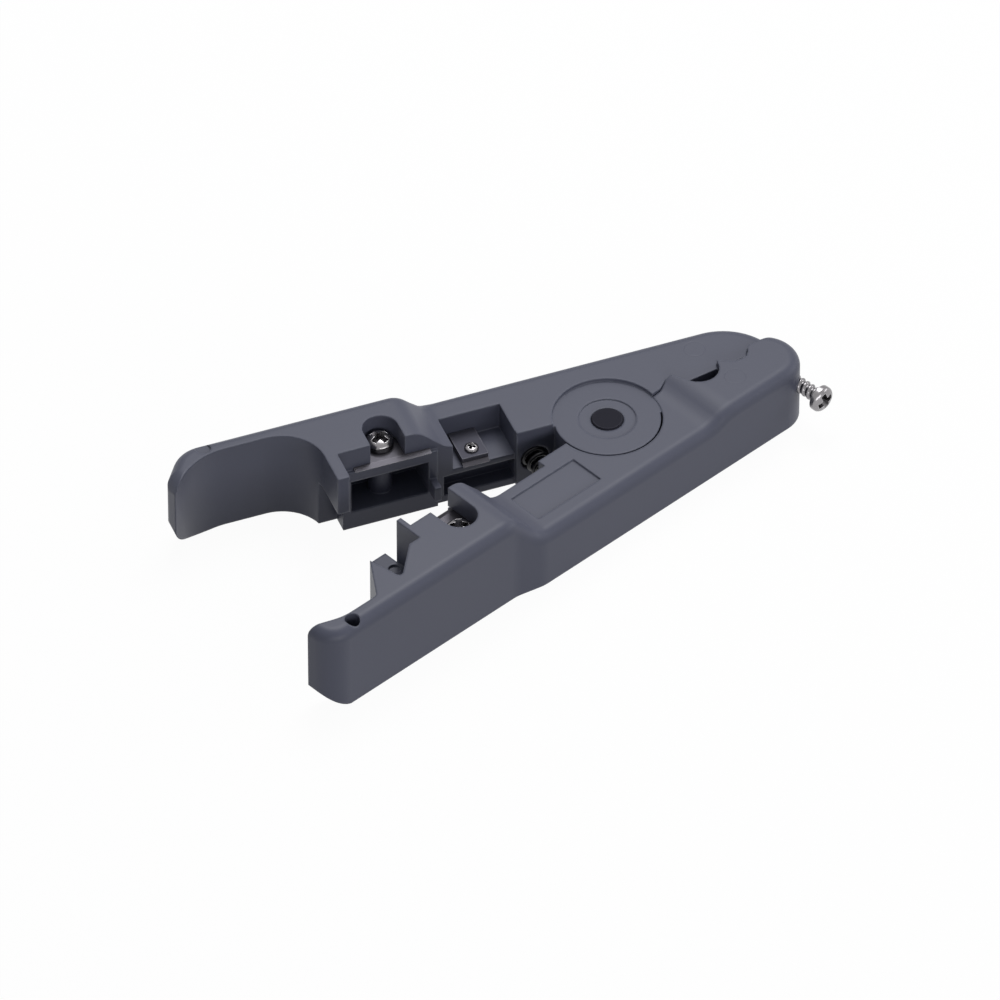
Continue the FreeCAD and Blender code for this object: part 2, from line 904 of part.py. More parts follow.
def make_return_spring():
    """Coil along Y with its ends in the two blind holes."""
    coil_radius = spring_outer_radius - wire_radius
    length = spring_high - spring_low - 2 * wire_radius
    helix = Part.makeHelix(length / spring_turns, length, coil_radius)
    start = V(coil_radius, 0, 0)
    corners = []
    for i in range(wire_sides):
        angle = 2 * math.pi * i / wire_sides
        corners.append(start + V(math.cos(angle), 0, math.sin(angle)) * wire_radius)
    section = Part.makePolygon(corners + corners[:1])
    coil = Part.Wire(helix.Edges).makePipeShell([section], True, True)
    coil.rotate(ORIGIN, V(1, 0, 0), -90)
    coil.translate(V(spring_x, spring_low + wire_radius, spring_height))
    return coil


def make_nose_blade():
    low = nose_blade_height
    return box(
        (nose_blade_left, nose_blade_right),
        (nose_blade_edge, nose_blade_edge + nose_blade_depth),
        (low, low + nose_blade_thickness),
    ).cut([
        rod(nose_pin_radius + pin_seat_gap, low - clear, low + clear, x, nose_pin_y)
        for x in nose_pin_places()
    ])


def make_nose_blade_pins():
    pins = [rod(nose_pin_radius, nose_pin_low, nose_pin_high, x, nose_pin_y)
            for x in nose_pin_places()]
    return Part.Compound(pins)


def make_depth_screw():
    """Thread in the thumb arm's nose, with its point against the hook arm."""
    tip = -depth_screw_inside
    seat = depth_screw_outside
    top = seat + depth_screw_head_height
    edge = depth_screw_head_radius
    screw = turned(
        [
            (0, tip),
            (depth_screw_radius - depth_screw_point, tip),
            (depth_screw_radius, tip + 2 * depth_screw_point),
            (depth_screw_radius, seat),
            (edge, seat),
            (edge, seat + depth_screw_rim),
            (edge - depth_screw_rim, top),
            (0, top),
        ],
        depth_exit,
        depth_axis,
    )
    cross = cross_recess(top, depth_recess_reach, depth_recess_width)
    cross.Placement = FreeCAD.Placement(depth_exit, FreeCAD.Rotation(UP, depth_axis))
    return screw.cut(cross)


hook_blade_edge = hook_beam_front - blade_overhang

nodes = {
    "hook_arm": make_hook_arm(),
    "thumb_arm": make_thumb_arm(),
    "pivot_pin": make_pivot_pin(),
    "pivot_washer": make_washer(),
    "retaining_ring": make_retaining_ring(),
    "return_spring": make_return_spring(),
    "slitting_blade": hook_at_rest(make_blade(hook_blade_edge, 1, blade_screw_y)),
    "slitting_blade_screw": hook_at_rest(make_blade_screw(blade_screw_y)),
    "jaw_blade": thumb_at_rest(make_blade(thumb_blade_edge, -1, thumb_blade_screw_y)),
    "jaw_blade_screw": thumb_at_rest(make_blade_screw(thumb_blade_screw_y)),
    "cutter_blade": hook_at_rest(make_cutter_blade()),
    "cutter_clamp": hook_at_rest(make_cutter_clamp()),
    "cutter_screw": hook_at_rest(make_cutter_screw()),
    "nose_blade": make_nose_blade(),
    "nose_blade_pins": make_nose_blade_pins(),
    "depth_screw": make_depth_screw(),
}

os.makedirs("parts", exist_ok=True)
for name, shape in nodes.items():
    shape.exportStep("parts/" + name + ".step")
    size = shape.BoundBox
    print(name, "solids", len(shape.Solids), "valid", shape.isValid(), "volume", round(shape.Volume, 1),
          "x %.1f %.1f y %.1f %.1f z %.1f %.1f" % (
              size.XMin, size.XMax, size.YMin, size.YMax, size.ZMin, size.ZMax))
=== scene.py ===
# %% [markdown]
# A hand tool for stripping cables lies on a white table. Two moulded plastic
# arms turn on a pin, small steel blades sit in them, and a coil spring opens
# them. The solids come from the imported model, and this file gives them their
# finish, the light and the camera. Lengths are in metres, so a size in
# millimetres is written as a number times MM.

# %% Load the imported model
import json
import math
import bmesh
import bpy
from mathutils import Matrix, Vector

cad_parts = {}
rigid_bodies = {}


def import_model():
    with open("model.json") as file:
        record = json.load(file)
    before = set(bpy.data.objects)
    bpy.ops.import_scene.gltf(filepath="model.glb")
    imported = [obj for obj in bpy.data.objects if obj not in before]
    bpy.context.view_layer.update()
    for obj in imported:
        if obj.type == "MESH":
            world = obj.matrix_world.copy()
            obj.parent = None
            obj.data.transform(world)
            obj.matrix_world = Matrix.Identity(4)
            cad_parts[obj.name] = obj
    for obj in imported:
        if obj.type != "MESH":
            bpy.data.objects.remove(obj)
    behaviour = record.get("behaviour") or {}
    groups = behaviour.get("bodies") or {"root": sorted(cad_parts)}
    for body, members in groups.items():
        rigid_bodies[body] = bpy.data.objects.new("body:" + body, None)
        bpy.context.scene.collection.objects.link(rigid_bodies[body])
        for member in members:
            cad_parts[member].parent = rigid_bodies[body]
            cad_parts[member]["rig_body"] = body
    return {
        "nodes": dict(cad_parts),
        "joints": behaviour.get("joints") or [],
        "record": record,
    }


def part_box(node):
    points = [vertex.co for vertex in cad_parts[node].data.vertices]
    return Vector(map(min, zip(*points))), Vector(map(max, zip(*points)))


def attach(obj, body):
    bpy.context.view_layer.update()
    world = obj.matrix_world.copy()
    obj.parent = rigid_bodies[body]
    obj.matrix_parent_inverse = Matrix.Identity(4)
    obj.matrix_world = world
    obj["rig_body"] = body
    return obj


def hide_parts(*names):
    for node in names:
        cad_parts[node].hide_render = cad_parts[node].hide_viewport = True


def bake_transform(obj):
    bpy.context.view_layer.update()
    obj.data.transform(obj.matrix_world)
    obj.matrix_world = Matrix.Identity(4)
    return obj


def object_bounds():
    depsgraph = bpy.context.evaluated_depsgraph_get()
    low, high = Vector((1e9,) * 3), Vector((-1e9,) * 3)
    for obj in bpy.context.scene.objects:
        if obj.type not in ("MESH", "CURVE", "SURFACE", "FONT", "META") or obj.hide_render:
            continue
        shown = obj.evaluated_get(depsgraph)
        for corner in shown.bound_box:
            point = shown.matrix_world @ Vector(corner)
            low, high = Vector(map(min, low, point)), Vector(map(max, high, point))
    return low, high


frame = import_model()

MM = 0.001
cad_low, cad_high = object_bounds()
scene = bpy.context.scene
print("nodes:", len(frame["nodes"]), "length in mm:", round((cad_high.x - cad_low.x) / MM, 1))

# %% [markdown]
# The camera stands where the photographer stood: well above the tool, in front
# of the thumb arm and far away, so that parallel edges stay almost parallel.
# A long lens with a target point on the tool is easier to set than angles of
# rotation, because both can be read off the picture.

# %% Camera at the photograph's angle
photo_turn = math.radians(-32.15)
photo_lift = math.radians(42.7)
camera_distance = 3.0
nearest_seen, furthest_seen = 0.05, 20.0
pixels_per_metre = 5130.0
picture_width = 1000.0
sensor_width = 36.0
target = Vector((-28.4, -5.7, 10.0)) * MM


def make_camera():
    data = bpy.data.cameras.new("photo_camera")
    data.sensor_width = sensor_width
    data.lens = pixels_per_metre * camera_distance / picture_width * sensor_width
    data.clip_start = nearest_seen
    data.clip_end = furthest_seen
    back = Vector((
        math.sin(photo_turn) * math.cos(photo_lift),
        -math.cos(photo_turn) * math.cos(photo_lift),
        math.sin(photo_lift),
    ))
    camera = bpy.data.objects.new("photo_camera", data)
    camera.location = target + back * camera_distance
    camera.rotation_mode = "QUATERNION"
    camera.rotation_quaternion = (-back).to_track_quat("-Z", "Y")
    scene.collection.objects.link(camera)
    scene.camera = camera
    return camera


camera = make_camera()
scene.view_settings.view_transform = "Standard"
print("lens in mm:", round(camera.data.lens))

# %% [markdown]
# Table, room, finishes, threads and spring are all built from nodes. A few
# helpers keep that readable: each adds one node, takes plain values or outputs
# of other nodes, and hands back its own output, so that calls can be nested
# like a formula.

# %% Helpers for nodes
def feed(tree, value, socket):
    """Give a socket a plain value, or a link where the value is another output."""
    if isinstance(value, bpy.types.NodeSocket):
        tree.links.new(value, socket)
    else:
        socket.default_value = value


def math_node(tree, operation, first, second=0.0):
    node = tree.nodes.new("ShaderNodeMath")
    node.operation = operation
    feed(tree, first, node.inputs[0])
    feed(tree, second, node.inputs[1])
    return node.outputs[0]


def mix_shaders(tree, factor, first, second):
    node = tree.nodes.new("ShaderNodeMixShader")
    for output, socket in zip((factor, first, second), node.inputs):
        tree.links.new(output, socket)
    return node.outputs[0]


def seen_directly(tree):
    """1 for rays from the camera, a gloss or a clear body, 0 for those that only light."""
    path = tree.nodes.new("ShaderNodeLightPath")
    seen = path.outputs["Is Camera Ray"]
    for label in ("Is Glossy Ray", "Is Transmission Ray"):
        seen = math_node(tree, "MAXIMUM", seen, path.outputs[label])
    return seen


print("node helpers:", [helper.__name__ for helper in (feed, math_node, mix_shaders)])

# %% [markdown]
# Product pictures stand on pure white. Paint alone would need so much lamp light
# that the tool washes out, so the table is matt paint that also glows, but only
# where the camera or a gloss sees it. A little paint stays in the mix and keeps
# the soft shadow. The table lies a hair under the tool, because two faces at one
# height flicker, and it is clear from below, to show the underside.

# %% Table
table_reach = 2.0
table_drop = 0.05 * MM
table_paint = (0.35, 0.35, 0.35, 1)
table_glow = 1.09
glow_share = 0.88


def make_table_material():
    material = bpy.data.materials.new("white_table")
    material.use_nodes = True
    tree = material.node_tree
    tree.nodes.clear()
    paint = tree.nodes.new("ShaderNodeBsdfDiffuse")
    paint.inputs["Color"].default_value = table_paint
    glow = tree.nodes.new("ShaderNodeEmission")
    glow.inputs["Strength"].default_value = table_glow
    share = math_node(tree, "MULTIPLY", seen_directly(tree), glow_share)
    white = mix_shaders(tree, share, paint.outputs[0], glow.outputs[0])
    from_below = tree.nodes.new("ShaderNodeNewGeometry").outputs["Backfacing"]
    clear = tree.nodes.new("ShaderNodeBsdfTransparent").outputs[0]
    output = tree.nodes.new("ShaderNodeOutputMaterial")
    tree.links.new(mix_shaders(tree, from_below, white, clear), output.inputs["Surface"])
    return material


def make_table():
    mesh = bpy.data.meshes.new("table")
    top = cad_low.z - table_drop
    signs = ((-1, -1), (1, -1), (1, 1), (-1, 1))
    corners = [(x * table_reach, y * table_reach, top) for x, y in signs]
    mesh.from_pydata(corners, [], [(0, 1, 2, 3)])
    mesh.materials.append(make_table_material())
    table = bpy.data.objects.new("table", mesh)
    scene.collection.objects.link(table)
    return table


table = make_table()
print("table top in mm:", round(table.data.vertices[0].co.z / MM, 2))

# %% [markdown]
# The room gives a weak, slightly cool light from all sides, so that no recess
# goes fully black. Seen by the camera or in a polished screw it is white, as the
# paper behind a product is. Both come from one world, with the same kind of mix
# as the table.

# %% Light of the room
room_colour = (0.92, 0.95, 1.0, 1)
room_light = 0.2
paper_white = 1.0


def make_room():
    world = bpy.data.worlds.new("studio")
    scene.world = world
    world.use_nodes = True
    tree = world.node_tree
    tree.nodes.clear()
    room = tree.nodes.new("ShaderNodeBackground")
    room.inputs["Color"].default_value = room_colour
    room.inputs["Strength"].default_value = room_light
    white = tree.nodes.new("ShaderNodeBackground")
    white.inputs["Strength"].default_value = paper_white
    shown = mix_shaders(tree, seen_directly(tree), room.outputs[0], white.outputs[0])
    output = tree.nodes.new("ShaderNodeOutputWorld")
    tree.links.new(shown, output.inputs["Surface"])
    return world


print("room:", make_room().name)

# %% [markdown]
# Three large soft boxes give the rest. One hangs over the tool, so that top
# faces are brighter than the walls. A weak one stands on the right, beyond the
# nose, and a long, low one in front lights the outer wall of the thumb arm. None
# shines straight into the recesses between the handles, so they stay dark. Large
# lamps are used because small ones give hard shadows and hot spots on the rims.

# %% Soft boxes
soft_boxes = {
    # name: place, size and power in watts
    "top_box": ((0.2, 0.25, 0.7), (0.45, 0.45), 3.7),
    "right_box": ((0.75, -0.25, 0.30), (0.5, 0.2), 0.9),
    "front_box": ((-0.10, -0.80, 0.22), (0.8, 0.2), 2.4),
}


def soft_box(name, place, size, watts):
    data = bpy.data.lights.new(name, "AREA")
    data.shape = "RECTANGLE"
    data.size, data.size_y = size
    data.energy = watts
    lamp = bpy.data.objects.new(name, data)
    lamp.location = place
    lamp.rotation_mode = "QUATERNION"
    lamp.rotation_quaternion = (target - Vector(place)).to_track_quat("-Z", "Y")
    scene.collection.objects.link(lamp)
    return lamp


for name, (place, size, watts) in soft_boxes.items():
    soft_box(name, place, size, watts)
print("lamps:", len(bpy.data.lights))

# %% [markdown]
# An effect that several finishes share is a group of nodes with named inputs, so
# that it is built once and each material only sets its values. All patterns read
# the object's own coordinates, so they turn with the piece and need no unwrapped
# map. These helpers open a group and add the nodes that the effects use most.

# %% Helpers for shader groups
def new_group(name, inputs, outputs):
    group = bpy.data.node_groups.new(name, "ShaderNodeTree")
    for label, kind, value in inputs:
        socket = group.interface.new_socket(label, in_out="INPUT", socket_type=kind)
        socket.default_value = value
    for label, kind in outputs:
        group.interface.new_socket(label, in_out="OUTPUT", socket_type=kind)
    start = group.nodes.new("NodeGroupInput")
    end = group.nodes.new("NodeGroupOutput")
    return group, start, end


def own_place(tree):
    return tree.nodes.new("ShaderNodeTexCoord").outputs["Object"]


def vector_node(tree, operation, first, second=(0, 0, 0), result="Vector"):
    node = tree.nodes.new("ShaderNodeVectorMath")
    node.operation = operation
    feed(tree, first, node.inputs[0])
    feed(tree, second, node.inputs[1])
    return node.outputs[result]


def noise_node(tree, place, scale, detail=2.0):
    node = tree.nodes.new("ShaderNodeTexNoise")
    tree.links.new(place, node.inputs["Vector"])
    feed(tree, scale, node.inputs["Scale"])
    node.inputs["Detail"].default_value = detail
    return node.outputs["Fac"]


def rounded_normal(tree, radius, samples):
    """Normal that turns softly over an edge, as if the edge were rounded."""
    node = tree.nodes.new("ShaderNodeBevel")
    node.samples = samples
    tree.links.new(radius, node.inputs["Radius"])
    return node.outputs[0]


def bump_node(tree, height, normal, strength, distance, sunk=False):
    node = tree.nodes.new("ShaderNodeBump")
    node.invert = sunk
    feed(tree, strength, node.inputs["Strength"])
    node.inputs["Distance"].default_value = distance
    tree.links.new(height, node.inputs["Height"])
    tree.links.new(normal, node.inputs["Normal"])
    return node.outputs[0]


print("group helpers:", [helper.__name__ for helper in (new_group, noise_node, bump_node)])

# %% [markdown]
# A steel mould is spark-eroded, and the plastic takes its fine grain. Its colour
# is never quite even either. A fine noise gives the bumps and a wide one the
# cloudiness. The bumps lie on a softly rounded normal, so that sharp edges of
# the solids catch a thin line of light as moulded ones do.

# %% Grain
grain_height = 0.05 * MM
cloud_detail = 4.0
soft_edge_samples = 8


def make_grain_group():
    group, start, end = new_group(
        "moulded_grain",
        [
            ("Grain Scale", "NodeSocketFloat", 2600.0),
            ("Cloud Scale", "NodeSocketFloat", 60.0),
            ("Depth", "NodeSocketFloat", 0.12),
            ("Edge Radius", "NodeSocketFloat", 0.3 * MM),
        ],
        [("Cloud", "NodeSocketFloat"), ("Normal", "NodeSocketVector")],
    )
    place = own_place(group)
    fine = noise_node(group, place, start.outputs["Grain Scale"])
    cloud = noise_node(group, place, start.outputs["Cloud Scale"], cloud_detail)
    soft = rounded_normal(group, start.outputs["Edge Radius"], soft_edge_samples)
    rough = bump_node(group, fine, soft, start.outputs["Depth"], grain_height)
    group.links.new(cloud, end.inputs["Cloud"])
    group.links.new(rough, end.inputs["Normal"])
    return group


grain_group = make_grain_group()
print("shader group:", grain_group.name)

# %% [markdown]
# Edges that hands and pockets rub turn paler, and sharp rims catch a line of
# light. The paler colour here is partly that real wear and partly a painted
# highlight. A renderer knows no wear, but where the rounded normal differs from
# the true one, there is an edge. That difference, broken up by a noise, is a
# mask for the paler edge colour.

# %% Rubbed edges and painted highlight
wear_and_sheen_samples = 6
wear_and_sheen_patches = 700.0
wear_and_sheen_contrast = 6.0


def make_edge_group():
    group, start, end = new_group(
        "edge_rub",
        [
            ("Width", "NodeSocketFloat", 0.4 * MM),
            ("Amount", "NodeSocketFloat", 1.0),
        ],
        [("Mask", "NodeSocketFloat")],
    )
    rounded = rounded_normal(group, start.outputs["Width"], wear_and_sheen_samples)
    true_normal = group.nodes.new("ShaderNodeNewGeometry").outputs["Normal"]
    same_way = vector_node(group, "DOT_PRODUCT", rounded, true_normal, result="Value")
    turned_away = math_node(group, "SUBTRACT", 1.0, same_way)
    patches = noise_node(group, own_place(group), wear_and_sheen_patches)
    patchy = math_node(group, "MULTIPLY", turned_away, patches)
    strong = math_node(group, "MULTIPLY", patchy, start.outputs["Amount"])
    wear_and_sheen = math_node(group, "MULTIPLY", strong, wear_and_sheen_contrast)
    group.links.new(math_node(group, "MINIMUM", wear_and_sheen, 1.0), end.inputs["Mask"])
    return group


edge_group = make_edge_group()
print("shader group:", edge_group.name)

# %% [markdown]
# A finish is then one function: a base colour that clouds and pale edges shift a
# little, the edges being part wear and part painted highlight, a roughness
# between two limits, and the grain as a normal. Every material starts from the
# same Principled shader, and values that are the same all over are set on the
# shader itself.

# %% Helper for finishes
def place_group(tree, group, **values):
    node = tree.nodes.new("ShaderNodeGroup")
    node.node_tree = group
    for label, value in values.items():
        node.inputs[label.replace("_", " ")].default_value = value
    return node


def mix_colours(tree, factor, first, second):
    node = tree.nodes.new("ShaderNodeMix")
    node.data_type = "RGBA"
    tree.links.new(factor, node.inputs["Factor"])
    feed(tree, first, node.inputs["A"])
    feed(tree, second, node.inputs["B"])
    return node.outputs["Result"]


def finish_material(
    name, colour, clouded, edge_rub_and_sheen, roughness, metallic=0.0, gloss=0.5, grain=None, edge=None
):
    material = bpy.data.materials.new(name)
    material.use_nodes = True
    tree = material.node_tree
    shader = tree.nodes["Principled BSDF"]
    shader.inputs["Metallic"].default_value = metallic
    shader.inputs["Specular IOR Level"].default_value = gloss
    grain_node = place_group(tree, grain_group, **(grain or {}))
    edge_node = place_group(tree, edge_group, **(edge or {}))
    cloud = grain_node.outputs["Cloud"]
    base = mix_colours(tree, cloud, (*colour, 1), (*clouded, 1))
    # Paler edges: part real wear, part a painted highlight on the rims.
    worn_and_lit = mix_colours(tree, edge_node.outputs["Mask"], base, (*edge_rub_and_sheen, 1))
    tree.links.new(worn_and_lit, shader.inputs["Base Color"])
    spread = tree.nodes.new("ShaderNodeMapRange")
    spread.inputs["To Min"].default_value, spread.inputs["To Max"].default_value = roughness
    tree.links.new(cloud, spread.inputs["Value"])
    tree.links.new(spread.outputs[0], shader.inputs["Roughness"])
    tree.links.new(grain_node.outputs["Normal"], shader.inputs["Normal"])
    return material


finishes = {}
print("finishes so far:", len(finishes))

# %% [markdown]
# Both arms are moulded in a blue-grey plastic, matt but not dull. The mould's
# ejector pins push them out while they are still warm, and each pin leaves a
# faint circle. One lies on each nose. The circles are far shallower than
# anything worth modelling, so they are drawn into the plastic's bump: a group
# measures how far a point is from an upright line and marks a thin ring there.

# %% Grey plastic with ejector marks
mark_places = [(26.7 * MM, -4.7 * MM), (25.0 * MM, 7.4 * MM)]
mark_radius = 2.1 * MM
mark_width = 0.16 * MM
mark_depth = 0.05 * MM
mark_strength = 0.5
level_enough = 0.9  # upward part of a top face's normal


def make_ring_group():
    """1 on a thin circle around an upright line, on top faces only."""
    group, start, end = new_group(
        "ejector_ring",
        [
            ("Centre", "NodeSocketVector", (0, 0, 0)),
            ("Radius", "NodeSocketFloat", 2.0 * MM),
            ("Width", "NodeSocketFloat", 0.1 * MM),
        ],
        [("Mask", "NodeSocketFloat")],
    )
    offset = vector_node(group, "SUBTRACT", own_place(group), start.outputs["Centre"])
    flat = vector_node(group, "MULTIPLY", offset, (1, 1, 0))
    from_centre = vector_node(group, "LENGTH", flat, result="Value")
    away = math_node(group, "SUBTRACT", from_centre, start.outputs["Radius"])
    off_line = math_node(group, "ABSOLUTE", away)
    near = math_node(group, "DIVIDE", off_line, start.outputs["Width"])
    line = math_node(group, "MAXIMUM", math_node(group, "SUBTRACT", 1.0, near), 0.0)
    normal = group.nodes.new("ShaderNodeSeparateXYZ")
    group.links.new(group.nodes.new("ShaderNodeNewGeometry").outputs["Normal"], normal.inputs[0])
    upward = math_node(group, "GREATER_THAN", normal.outputs["Z"], level_enough)
    group.links.new(math_node(group, "MULTIPLY", line, upward), end.inputs["Mask"])
    return group


def add_ejector_marks(material, ring_group):
    tree = material.node_tree
    shader = tree.nodes["Principled BSDF"]
    normal = shader.inputs["Normal"].links[0].from_socket
    for x, y in mark_places:
        ring = place_group(tree, ring_group, Radius=mark_radius, Width=mark_width)
        ring.inputs["Centre"].default_value = (x, y, 0)
        mask = ring.outputs["Mask"]
        normal = bump_node(tree, mask, normal, mark_strength, mark_depth, sunk=True)
    tree.links.new(normal, shader.inputs["Normal"])


finishes["grey_plastic"] = finish_material(
    "moulded_grey_plastic",
    colour=(0.078, 0.083, 0.117),
    clouded=(0.089, 0.094, 0.131),
    edge_rub_and_sheen=(0.17, 0.18, 0.23),
    roughness=(0.38, 0.5),
    gloss=0.3,
    grain={"Grain_Scale": 2400.0, "Depth": 0.2, "Edge_Radius": 0.6 * MM},
    edge={"Width": 0.6 * MM, "Amount": 0.6},
)
add_ejector_marks(finishes["grey_plastic"], make_ring_group())
print("ejector marks:", len(mark_places))

# %% [markdown]
# The metal parts differ in treatment more than in shape. The pin is blackened
# steel and the spring is black wire, and both mirror little. The washer and the
# small pins are zinc plated, which is pale and even. The clamp plate is
# phosphated, a dull grey. So each is the same function with its own values.

# %% Blackened, zinc-plated and phosphated steel
finishes["blackened_steel"] = finish_material(
    "blackened_steel",
    colour=(0.008, 0.008, 0.013),
    clouded=(0.012, 0.012, 0.019),
    edge_rub_and_sheen=(0.08, 0.08, 0.10),
    roughness=(0.42, 0.55),
    metallic=0.4,
    gloss=0.08,
    grain={"Grain_Scale": 3000.0, "Depth": 0.05, "Edge_Radius": 0.15 * MM},
)
finishes["black_spring_wire"] = finish_material(
    "black_spring_wire",
    colour=(0.012, 0.012, 0.014),
    clouded=(0.022, 0.022, 0.024),
    edge_rub_and_sheen=(0.08, 0.08, 0.085),
    roughness=(0.25, 0.4),
    metallic=0.7,
    grain={"Depth": 0.02, "Edge_Radius": 0.05 * MM},
)
finishes["zinc_steel"] = finish_material(
    "zinc_plated_steel",
    colour=(0.50, 0.51, 0.53),
    clouded=(0.60, 0.60, 0.61),
    edge_rub_and_sheen=(0.75, 0.75, 0.76),
    roughness=(0.3, 0.45),
    metallic=1.0,
    grain={"Depth": 0.04, "Edge_Radius": 0.1 * MM},
)
finishes["grey_plate"] = finish_material(
    "grey_phosphated_plate",
    colour=(0.052, 0.052, 0.070),
    clouded=(0.065, 0.065, 0.084),
    edge_rub_and_sheen=(0.20, 0.20, 0.23),
    roughness=(0.45, 0.6),
    metallic=0.5,
    gloss=0.25,
    grain={"Grain_Scale": 2800.0, "Depth": 0.1, "Edge_Radius": 0.12 * MM},
)
print("finishes so far:", sorted(finishes))

# %% [markdown]
# The screws are nickel plated and bright. Their driver recess and the roots of
# the thread are darkened nearly to black as painted shade. A group asks how much
# of its surroundings a point can see. Deep points see little, and that share
# mixes in the dark colour. Only the screw itself counts, so the painted shade
# comes from its own recesses alone.

# %% Nickel plate with painted shade in its crevices
crevice_samples = 8
crevice_shade_colour = (0.04, 0.04, 0.045)
crevice_reach = 0.9 * MM
crevice_amount = 1.6


def make_crevice_group():
    """1 deep in a recess, 0 on an open face."""
    group, start, end = new_group(
        "crevice_shade",
        [
            ("Reach", "NodeSocketFloat", 1.0 * MM),
            ("Amount", "NodeSocketFloat", 1.0),
        ],
        [("Mask", "NodeSocketFloat")],
    )
    open_share = group.nodes.new("ShaderNodeAmbientOcclusion")
    open_share.samples = crevice_samples
    open_share.only_local = True
    group.links.new(start.outputs["Reach"], open_share.inputs["Distance"])
    hidden = math_node(group, "SUBTRACT", 1.0, open_share.outputs["AO"])
    strong = math_node(group, "MULTIPLY", hidden, start.outputs["Amount"])
    group.links.new(math_node(group, "MINIMUM", strong, 1.0), end.inputs["Mask"])
    return group


def shade_crevices(material, group):
    tree = material.node_tree
    base = tree.nodes["Principled BSDF"].inputs["Base Color"]
    bright = base.links[0].from_socket
    crevice = place_group(tree, group, Reach=crevice_reach, Amount=crevice_amount)
    # The dark mix is painted shade in the recess and between the threads.
    shaded = mix_colours(tree, crevice.outputs["Mask"], bright, (*crevice_shade_colour, 1))
    tree.links.new(shaded, base)


finishes["nickel_steel"] = finish_material(
    "nickel_plate",
    colour=(0.25, 0.24, 0.25),
    clouded=(0.32, 0.31, 0.32),
    edge_rub_and_sheen=(0.52, 0.51, 0.53),
    roughness=(0.2, 0.3),
    metallic=1.0,
    grain={"Depth": 0.02, "Edge_Radius": 0.12 * MM},
)
shade_crevices(finishes["nickel_steel"], make_crevice_group())
print("finishes so far:", sorted(finishes))

# %% [markdown]
# Blades are ground flat on a wheel, which leaves fine lines across the cutting
# edge. A noise that is squeezed along one direction and stretched along the
# other draws such lines, and a very shallow bump is enough to make the gloss
# run along them.

# %% Ground blade steel
grind_turn = math.radians(11.15)
grind_scale = (9000.0, 260.0, 260.0)
grind_strength = 0.25
grind_depth = 0.01 * MM


def add_grinding(material):
    tree = material.node_tree
    shader = tree.nodes["Principled BSDF"]
    smooth = shader.inputs["Normal"].links[0].from_socket
    stretched = tree.nodes.new("ShaderNodeMapping")
    stretched.inputs["Rotation"].default_value = (0, 0, grind_turn)
    stretched.inputs["Scale"].default_value = grind_scale
    tree.links.new(own_place(tree), stretched.inputs["Vector"])
    lines = noise_node(tree, stretched.outputs[0], 1.0)
    ground = bump_node(tree, lines, smooth, grind_strength, grind_depth)
    tree.links.new(ground, shader.inputs["Normal"])


finishes["blade_steel"] = finish_material(
    "ground_blade_steel",
    colour=(0.060, 0.058, 0.068),
    clouded=(0.085, 0.082, 0.094),
    edge_rub_and_sheen=(0.35, 0.35, 0.38),
    roughness=(0.3, 0.4),
    metallic=1.0,
    grain={"Depth": 0.02, "Edge_Radius": 0.06 * MM},
    edge={"Width": 0.12 * MM},
)
add_grinding(finishes["blade_steel"])
print("finishes:", sorted(finishes))

# %% [markdown]
# The record says which finish each solid takes. The solids keep their exact
# shape, so only the materials in their slots change.

# %% Dress the solids
slot_of = {part["node"]: part["material_slot"] for part in frame["record"]["subparts"]}
for name, slot_name in slot_of.items():
    solid = frame["nodes"][name]
    solid.data.materials.clear()
    solid.data.materials.append(finishes[slot_name])
print("dressed:", len(slot_of))

# %% [markdown]
# The solids hold plain shanks and chamfered heads. Real screws have a rolled
# thread, and a pan head with a round crown. Each finished screw is measured from
# its own solid, so that it always fits: how far the solid reaches along its
# axis, where that axis runs, and how wide the head is.

# %% Measure a screw from its solid
def points_of(node):
    return [Vector(v.co) for v in frame["nodes"][node].data.vertices]


def measure_along(node, axis):
    """Lowest and highest reach along the axis, and the axis's point beside the origin."""
    points = points_of(node)
    reach = [p.dot(axis) for p in points]
    upright = axis.z > 0.5
    side = Vector((1, 0, 0)) if upright else Vector((-axis.y, axis.x, 0))
    middle = Vector((0, 0, 0))
    for across in (side, axis.cross(side)):
        spread = [p.dot(across) for p in points]
        middle += across * (min(spread) + max(spread)) / 2
    return min(reach), max(reach), middle


def widest_from_axis(node, axis, middle):
    """Largest distance of the solid's points from the axis: the head's radius."""
    points = [p - middle for p in points_of(node)]
    return max((p - axis * p.dot(axis)).length for p in points)


def along_axis(axis, middle, start):
    """Matrix that takes local Z to the axis and the origin to its start."""
    turn = axis.to_track_quat("Z", "Y").to_matrix().to_4x4()
    return Matrix.Translation(middle + axis * start) @ turn


up = Vector((0, 0, 1))
adjust_axis = Vector(next(
    joint["axis"] for joint in frame["joints"] if joint["name"] == "depth_screw_travel"
)).normalized()
print("adjusting screw points to", [round(c, 2) for c in adjust_axis])

# %% [markdown]
# Threads and coils follow a rule, so Geometry Nodes make them. Each tree has
# named inputs for its sizes. It ends in smooth faces, its material and real
# mesh, and what it grows is then read off as a plain mesh, which the rest of the
# file can move and join.

# %% Helpers for Geometry Nodes
def geometry_group(name, inputs):
    group = bpy.data.node_groups.new(name, "GeometryNodeTree")
    for label, kind, value in inputs:
        socket = group.interface.new_socket(label, in_out="INPUT", socket_type=kind)
        if value is not None:
            socket.default_value = value
    group.interface.new_socket("Geometry", in_out="OUTPUT", socket_type="NodeSocketGeometry")
    return group, group.nodes.new("NodeGroupInput"), group.nodes.new("NodeGroupOutput")


def split_position(group):
    node = group.nodes.new("ShaderNodeSeparateXYZ")
    group.links.new(group.nodes.new("GeometryNodeInputPosition").outputs[0], node.inputs[0])
    return node.outputs


